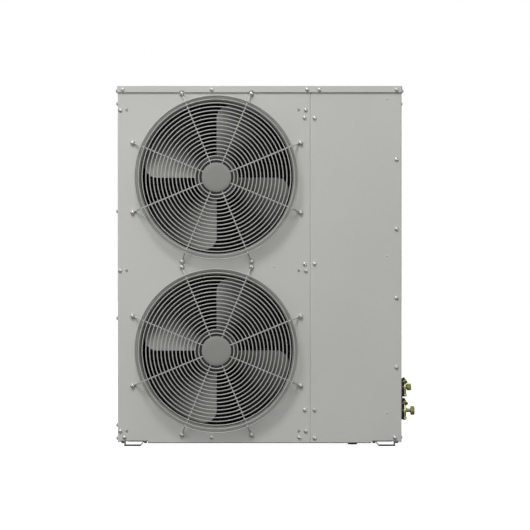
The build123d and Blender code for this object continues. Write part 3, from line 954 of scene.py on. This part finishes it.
def upright_barrel(port_z, height):
    """Barrel with a rounded foot below the port and a collar above it."""
    top = drop + barrel
    collar_top = top + collar_height
    profile = foot_profile + [
        (barrel, top),
        (collar_radius - collar_edge, top),
        (collar_radius, top + collar_edge),
        (collar_radius, collar_top - collar_edge),
        (collar_radius - collar_edge, collar_top),
        (barrel, collar_top),
        (barrel - collar_edge, height),
    ]
    return spin(profile, (axis_x, valve_y, port_z - drop), (0, 0, 1))


def flare_port(port_z, neck):
    """Port pointing out, with a flange that the nut bears on."""
    profile = [
        (barrel, 0.0),
        (barrel, neck - flange_width - flange_slope),
        (barrel + flange_rise, neck - flange_width),
        (barrel + flange_rise, neck),
    ]
    return spin(profile, (valve_face, valve_y, port_z), (1, 0, 0))


print("barrel thickness:", round(2 * barrel / mm, 1), "mm")

# %% Put the valves together
stem_lean = radians(33.0)
stem_share = 0.6
cap_gap = 1.0 * mm
turned_crease = 25
lean = Vector((cos(stem_lean), 0, sin(stem_lean)))
for name, size in valves.items():
    port_z = size["port"] * mm
    stem_z = port_z + size["rise"] * mm
    cap = size["cap"] * mm
    neck = size["neck"] * mm + axis_x - valve_face
    upright = upright_barrel(port_z, stem_z - port_z + drop)
    port = flare_port(port_z, neck)
    stem_radius = stem_share * cap
    stem_length = (cap * sin(stem_lean) + cap_gap) / cos(stem_lean)
    stem_start = stem_radius * sin(stem_lean) / cos(stem_lean)
    stem_root = Vector((valve_face, valve_y, stem_z))
    stem = spin([(stem_radius, stem_start), (stem_radius, stem_length)], stem_root, lean)
    body = together([upright, port, stem])
    piece = place(f"{name}_forged_valve", body, forged_brass)
    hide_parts(f"{name}_valve_body")
    nut_start = Vector((valve_face + neck, valve_y, port_z))
    nut = flare_nut(nut_start, size["nut"] * mm, size["tube"] * mm)
    piece = place(f"{name}_turned_nut", nut, forged_brass, turned_crease)
    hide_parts(f"{name}_flare_nut")
    cover = round_cap(stem_root + lean * stem_length, lean, cap)
    piece = place(f"{name}_turned_cap", cover, forged_brass, turned_crease)
    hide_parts(f"{name}_stem_cap")
    print(name, "valve reaches out to x", round((valve_face + neck + nut_length) / mm, 1), "mm")

# %% [markdown]
# The two valves are bolted to a shallow pan pressed in plate, which stands a little proud of
# the side. Its dark grey is painted shade behind the valves. Pressed sheet has sloping walls and
# a rounded rim, so its outline is drawn three times, each time smaller and further out.

# %% Pressed pan behind the valves
pan_half_depth = 24.0 * mm
pan_low_z = 91.0 * mm
pan_high_z = 233.5 * mm
pan_corner = 8.0 * mm
corner_steps = 5
pan_levels = ((0.0, 0.0), (4.2 * mm, 1.2 * mm), (4.8 * mm, 2.0 * mm))


def pan_outline(out, inset):
    """Rounded rectangle facing the side, some way out from the plate and smaller by an inset."""
    half_y = pan_half_depth - inset
    half_z = (pan_high_z - pan_low_z) / 2 - inset
    radius = pan_corner - inset
    middle = Vector((valve_face + out, valve_y, (pan_low_z + pan_high_z) / 2))
    points = []
    for quarter, (side_y, side_z) in enumerate(((1, 1), (-1, 1), (-1, -1), (1, -1))):
        for k in range(corner_steps + 1):
            angle = pi / 2 * (quarter + k / corner_steps)
            along_y = side_y * (half_y - radius) + radius * cos(angle)
            along_z = side_z * (half_z - radius) + radius * sin(angle)
            points.append(middle + Vector((0, along_y, along_z)))
    return points


pan = loft([pan_outline(out, inset) for out, inset in pan_levels])
# Dark grey as painted shade behind the valves.
place("valve_pan", pan, dark_powder_and_shade)
print("pan height:", round((pan_high_z - pan_low_z) / mm, 1), "mm")

# %% [markdown]
# ## Screws, rivets and arrow marks
# The panels are held by zinc-plated screws with a round flange and a domed, recessed head. They
# are what gives a plain sheet its scale, so each sits where it is on the real cabinet. One head
# is drawn as a profile, and a loop spins it at every place, joined into one mesh for each side.

# %% Screw places
# In millimetres: x and z on the front, x along the lid, and z on the sides and the back.
front_spots = [(-491, z) for z in (1183, 617, 52)] + [(-476.5, 30), (-169, 30), (140, 30)]
front_spots += [(162.2, z) for z in (1183, 617, 52)] + [(158.2, z) for z in (1156, 641, 127)]
front_spots += [(193.2, z) for z in (1155, 641, 126.5, 28.5)]
front_spots += [(482, z) for z in (1009, 764, 521, 277)] + [(476, 29)]
lid_spots = [-483, -169, 167, 210.5, 482]
lid_screw_z = 1254.7 * mm
lid_side_screw_z = 1251.0 * mm
side_spots = [1205.5, 827, 450, 73, 27.5]
right_spots = [1205.5, 29.5]
back_spots = [1183, 900, 617, 335, 52]
side_screw_y = 16.0 * mm
rear_screw_inset = 18.0 * mm
lid_rows = (panel_face + side_screw_y, 0.0, -panel_face - side_screw_y)
left_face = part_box("fan_panel")[0].x
right_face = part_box("right_side_panel")[1].x
rear_low, rear_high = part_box("rear_panel")
rear_columns = (rear_low.x + rear_screw_inset, rear_high.x - rear_screw_inset)
front = [(x * mm, panel_face, z * mm) for x, z in front_spots]
front += [(x * mm, lid_low.y, lid_screw_z) for x in lid_spots]
for axis in fan_axes.values():
    seat = Vector((axis.x, panel_face - spoke_wire, axis.z))
    front += [seat + outward(angle) * eye_circle for angle in spoke_angles]
left = [(left_face, panel_face + side_screw_y, z * mm) for z in side_spots]
left += [(lid_low.x, y, lid_side_screw_z) for y in lid_rows]
right = [(lid_high.x, y, lid_side_screw_z) for y in lid_rows]
right += [(right_face, panel_face + side_screw_y, z * mm) for z in right_spots]
rear = [(x, rear_high.y, z * mm) for x in rear_columns for z in back_spots]
rear += [(x * mm, lid_high.y, lid_screw_z) for x in lid_spots]
print("screws:", len(front) + len(left) + len(right) + len(rear))

# %% Screw heads
flange = [(7.2, 0.0), (7.2, 0.7), (6.7, 1.2)]
dome_and_recess = [(6.5, 2.2), (5.9, 3.4), (4.9, 4.5), (3.6, 5.2), (2.2, 5.6), (1.6, 3.6)]
screw_profile = in_mm(flange + dome_and_recess) + [(pinhole, 3.4 * mm)]
screw_sides = 20
screws = {
    "front": (front, (0, -1, 0)),
    "left": (left, (-1, 0, 0)),
    "right": (right, (1, 0, 0)),
    "rear": (rear, (0, 1, 0)),
}
for side, (spots, along) in screws.items():
    heads = together([spin(screw_profile, spot, along, screw_sides) for spot in spots])
    place(f"{side}_screws", heads, zinc_plate)
print("screw meshes:", list(screws))

# %% [markdown]
# Small pressed arrows beside six of the screws show where the panel unhooks. They are picked out
# in darker paint. A few rivets hold brackets behind and take the paint of the sheet.

# %% Arrow marks and rivets
arrow_length = 11.0 * mm
arrow_width = 13.5 * mm
arrow_proud = 0.8 * mm
arrow_slope = 1.6 * mm
arrow_taper = 1.6
arrow_crease = 20
arrow_columns = ((-470, -1), (139.5, 1))
arrow_rows = (1183, 617, 51.5)
rivet_profile = in_mm([(3.6, 0.0), (3.3, 0.7), (2.3, 1.3)]) + [(pinhole, 1.6 * mm)]
rivet_spots = [(448.5, 1222), (448.5, 670), (448.5, 116), (51, 632)]


def arrow(x, z, way):
    """A small raised triangle that points left or right."""
    outlines = []
    for lift, shrink in ((0.0, 0.0), (arrow_proud, arrow_slope)):
        reach = way * (arrow_length / 2 - shrink)
        width = arrow_width / 2 - arrow_taper * shrink
        y = panel_face - lift
        ends = ((reach, 0.0), (-reach, width), (-reach, -width))
        outlines.append([Vector((x + along, y, z + across)) for along, across in ends])
    return loft(outlines)


arrows = [arrow(x * mm, z * mm, way) for x, way in arrow_columns for z in arrow_rows]
place("pressed_arrows", together(arrows), mark_paint, arrow_crease)
rivets = [
    spin(rivet_profile, (x * mm, panel_face, z * mm), (0, -1, 0), screw_sides) for x, z in rivet_spots
]
place("panel_rivets", together(rivets), panel_paint)
print("arrows:", len(arrows), "rivets:", len(rivets))

# %% [markdown]
# Where the two front panels meet, a bead of sealant lies in the groove between their folds, just
# below the sheet. It is squeezed from a nozzle, so a thin round wire is the right shape for it.

# %% Seam bead
bead_radius = 2.2 * mm
bead_sunk = 1.9 * mm
service_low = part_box("service_panel")[0]
panel_low = service_low.z
seam_x = (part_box("fan_panel")[1].x + service_low.x) / 2
bead_y = panel_face + bead_sunk + bead_radius
bead = [Vector((seam_x, bead_y, z)) for z in (panel_low, lid_low.z)]
bend_wire("seam_bead", [bead], bead_radius, frame_paint)
print("seam at x:", round(seam_x / mm, 1), "mm")

# %% [markdown]
# ## Under the base
# A rubber bung closes the drain hole, and the tips of a few bolts stick out below the pan. The
# bung is a moulding with a rolled edge and a waist, so it is spun. Each foot hangs from two
# bolts. A black strip under the lower edge of the panels is painted shade for the shadowed
# bottom edge of the pan. It is a narrow channel, drawn as a bar with its edges rolled over.

# %% Drain bung
bung_stem = 12.0 * mm
plug_low, plug_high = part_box("drain_plug")
plug_middle = (plug_low + plug_high) / 2
plug_radius = (plug_high.x - plug_low.x) / 2
plug_drop = base_low.z - plug_low.z
bung_profile = [
    (plug_radius - 4.5 * mm, 0.0),
    (plug_radius - 2.5 * mm, 0.6 * mm),
    (plug_radius - 1.6 * mm, 2.0 * mm),
    (plug_radius - 1.2 * mm, plug_drop * 0.45),
    (plug_radius - 2.2 * mm, plug_drop * 0.52),
    (plug_radius - 2.2 * mm, plug_drop * 0.62),
    (plug_radius - 0.4 * mm, plug_drop * 0.7),
    (plug_radius, plug_drop * 0.85),
    (plug_radius, plug_drop),
    (bung_stem, plug_drop),
    (bung_stem, plug_high.z - plug_low.z),
]
bung = spin(bung_profile, (plug_middle.x, plug_middle.y, plug_low.z), (0, 0, 1), sides=64)
piece = place("rubber_drain_bung", bung, black_rubber_and_shade)
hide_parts("drain_plug")
print("bung drop:", round(plug_drop / mm, 1), "mm")

# %% Bolt tips
bolt_sides = 24
bolt_flats = 10.0 * mm
head_height = 4.5 * mm
tip_height = 6.5 * mm
tip_spots = (258, 299, 353.5, 367)
tip_profile = in_mm([(2.2, 0.0), (3.0, 0.8)]) + [(3.0 * mm, tip_height)]
head_profile = in_mm([(5.0, 0.0), (6.0, 0.6)]) + [(6.0 * mm, head_height)]
head_z = base_low.z - head_height
tips = []
for x in tip_spots:
    head_start = (x * mm, plug_middle.y, head_z)
    tips.append(spin(head_profile, head_start, (0, 0, 1), bolt_sides, bolt_flats))
    tip_start = (x * mm, plug_middle.y, head_z - tip_height)
    tips.append(spin(tip_profile, tip_start, (0, 0, 1), screw_sides))
# The bolt tips' black is partly painted shade under the base.
place("base_bolt_tips", together(tips), black_oxide_and_shade)
print("bolt tips:", len(tips) // 2)

# %% Foot bolts
foot_bolt_x = (483, 403)
foot_bolt_y = 182.0 * mm
foot_flange = 3.0 * mm
flange_under = base_low.z - foot_flange
bolt_profile = in_mm([(4.6, -6.0), (5.6, -5.4), (5.6, -0.6), (6.2, 0.0)])
bolts = []
for x in foot_bolt_x:
    for y in (-foot_bolt_y, foot_bolt_y):
        for side in (-1, 1):
            bolt_start = (side * x * mm, y, flange_under)
            bolts.append(spin(bolt_profile, bolt_start, (0, 0, 1), bolt_sides, bolt_flats))
# The foot bolts' black is partly painted shade under the base.
place("foot_bolts", together(bolts), black_oxide_and_shade)
print("foot bolts:", len(bolts))

# %% Black strip of painted shade under the panels
edging_drop = 2.4 * mm
edging_half = 1.6 * mm
edging_roll = 0.5 * mm
edging_lap = 0.2 * mm
edging_gap = 0.1 * mm
edging_profile = [
    (-edging_half, -edging_drop + edging_roll),
    (-edging_half + edging_roll, -edging_drop),
    (edging_half - edging_roll, -edging_drop),
    (edging_half, -edging_drop + edging_roll),
    (edging_half, edging_lap),
    (-edging_half, edging_lap),
]
edging_y = panel_face + edging_half + edging_gap
notch_near, notch_far = 394.0 * mm, 490.0 * mm
notch_top = 18.3 * mm
edging_runs = [
    (-notch_near, notch_near, panel_low),
    (-notch_far, -notch_near, notch_top),
    (notch_near, notch_far, notch_top),
]
shade_strip = []
for start, stop, edge_z in edging_runs:
    outline = [(edging_y + aside, edge_z + rise) for aside, rise in edging_profile]
    shade_strip.append(loft([[Vector((x, y, z)) for y, z in outline] for x in (start, stop)]))
# The black strip is painted shade along the pan's bottom edge.
place("panel_shade_strip", together(shade_strip), black_rubber_and_shade)
print("edging runs:", len(shade_strip), "drop:", round(edging_drop / mm, 1), "mm")

# %% [markdown]
# ## Floor, light and camera
# The picture is a studio one: white all round, light mostly from above and a little from the
# left, so that domed heads are bright on top and dark below. A sky that is bright overhead and
# dim at the horizon gives that softly, and a large lamp above adds a direction. A weak lamp on
# the left lights the sides of the blades that face it, and a third one stands behind.
#
# The object stands on a light table, white paper lit from below, so hardly a shadow falls under
# it. Photographers mask such a table so that it doesn't light the object from underneath, and
# here the floor is left out of the light that falls on the object for the same reason. A white
# card stands in front on the right at the object's height, for shiny metal to mirror.
#
# The lens sees plain white behind the object, as a paper backdrop would give. It is long and far
# away, at the height of the cabinet's middle, which keeps the front square to the picture.

# %% Light table
table_glow = 0.95
pulp_clouds = 900
floor_corners = ((-40, -40), (40, -40), (40, 60), (-40, 60))
floor_points = [Vector((x, y, 0)) for x, y in floor_corners]
floor_mesh = bpy.data.meshes.new("studio_floor")
floor_mesh.from_pydata(floor_points, [], [(0, 1, 2, 3)])
floor = bpy.data.objects.new("studio_floor", floor_mesh)
scene.collection.objects.link(floor)
# White paper over a lit table: matt, with slow clouds of pulp.
table_paper, tree, here = new_finish("white_light_table_paper")
pulp = {"Scale": per_metre(pulp_clouds), "Detail": 2.0}
clouds = add(tree, "ShaderNodeTexNoise", pulp, {"Vector": here}).outputs["Fac"]
pair = {TONE_A: linear("#949494"), TONE_B: linear("#9c9c9c")}
paper_tone = add(tree, "ShaderNodeMix", pair, {FACTOR: clouds}, data_type="RGBA").outputs[MIXED]
lit_paper = add(
    tree,
    "ShaderNodeBsdfPrincipled",
    {"Roughness": 1.0, "Emission Color": linear("#ffffff"), "Emission Strength": table_glow},
    {"Base Color": paper_tone},
)
add(tree, "ShaderNodeOutputMaterial", links={"Surface": lit_paper.outputs["BSDF"]})
floor_mesh.materials.append(table_paper)
floor.visible_diffuse = False
floor.visible_glossy = False
print("floor:", floor.name, "glow", table_glow)

# %% Sky
horizon = 0.16
overhead = 0.84
sky = bpy.data.worlds.new("studio_sky")
sky.use_nodes = True
tree = sky.node_tree
tree.nodes.clear()
way = add(tree, "ShaderNodeTexCoord").outputs["Generated"]
height = add(tree, "ShaderNodeSeparateXYZ", links={"Vector": way}).outputs["Z"]
brightness = {"To Min": horizon, "To Max": overhead}
softbox = add(tree, "ShaderNodeMapRange", brightness, {"Value": height}).outputs["Result"]
print("sky from", horizon, "to", overhead)

# %% White card
card_glow = 7.0
card_way = (0.6, -0.8, 0.0)
card_focus = 10.0
card_half = 0.2
facing = add(
    tree, "ShaderNodeVectorMath", {1: card_way}, {0: way}, operation="DOT_PRODUCT"
).outputs["Value"]
ahead = add(tree, "ShaderNodeMath", {1: 0.0}, {0: facing}, operation="MAXIMUM").outputs["Value"]
lobe = add(tree, "ShaderNodeMath", {1: card_focus}, {0: ahead}, operation="POWER").outputs["Value"]
level = add(tree, "ShaderNodeMath", links={0: height}, operation="ABSOLUTE").outputs["Value"]
band = add(
    tree,
    "ShaderNodeMapRange",
    {"From Max": card_half, "To Min": card_glow, "To Max": 0.0},
    {"Value": level},
).outputs["Result"]
card = add(tree, "ShaderNodeMath", links={0: lobe, 1: band}, operation="MULTIPLY").outputs["Value"]
print("card glow:", card_glow)

# %% Backdrop
ray = add(tree, "ShaderNodeLightPath").outputs
shine = {0: card, 1: ray["Is Glossy Ray"], 2: softbox}
strength = add(tree, "ShaderNodeMath", links=shine, operation="MULTIPLY_ADD").outputs["Value"]
white = linear("#ffffff")
glow = add(tree, "ShaderNodeBackground", {"Color": white}, {"Strength": strength})
paper = add(tree, "ShaderNodeBackground", {"Color": white, "Strength": 1.0})
backdrop = add(
    tree,
    "ShaderNodeMixShader",
    links={0: ray["Is Camera Ray"], 1: glow.outputs["Background"], 2: paper.outputs["Background"]},
)
add(tree, "ShaderNodeOutputWorld", links={"Surface": backdrop.outputs["Shader"]})
scene.world = sky
print("world:", sky.name)

# %% Lamps
lamp_aim = Vector((0, 0, 0.65))
lamps = {
    "key_lamp": {"size": 2.2, "watts": 212.0, "place": (-1.4, -3.6, 5.6)},
    "fill_lamp": {"size": 1.2, "watts": 10.5, "place": (-2.6, -2.2, 0.9)},
    "rear_lamp": {"size": 2.5, "watts": 80.0, "place": (2.5, 4.5, 3.0)},
}
for name, lamp in lamps.items():
    light = bpy.data.lights.new(name, "AREA")
    light.shape = "DISK"
    light.size = lamp["size"]
    light.energy = lamp["watts"]
    shade = bpy.data.objects.new(name, light)
    shade.location = lamp["place"]
    aim = lamp_aim - shade.location
    shade.rotation_euler = aim.to_track_quat("-Z", "Y").to_euler()
    scene.collection.objects.link(shade)
print("lamps:", sorted(lamps))

# %% Camera
sensor_mm = 36.0
lens_mm = 289.2
camera_place = (0.0188, -15.2, 0.637)
camera_data = bpy.data.cameras.new("front_camera")
camera_data.sensor_width = sensor_mm
camera_data.lens = lens_mm
camera = bpy.data.objects.new("front_camera", camera_data)
camera.location = camera_place
camera.rotation_euler = (radians(90), 0, 0)
scene.collection.objects.link(camera)
scene.camera = camera
scene.view_settings.view_transform = "Standard"
print("lens:", camera_data.lens, "mm")
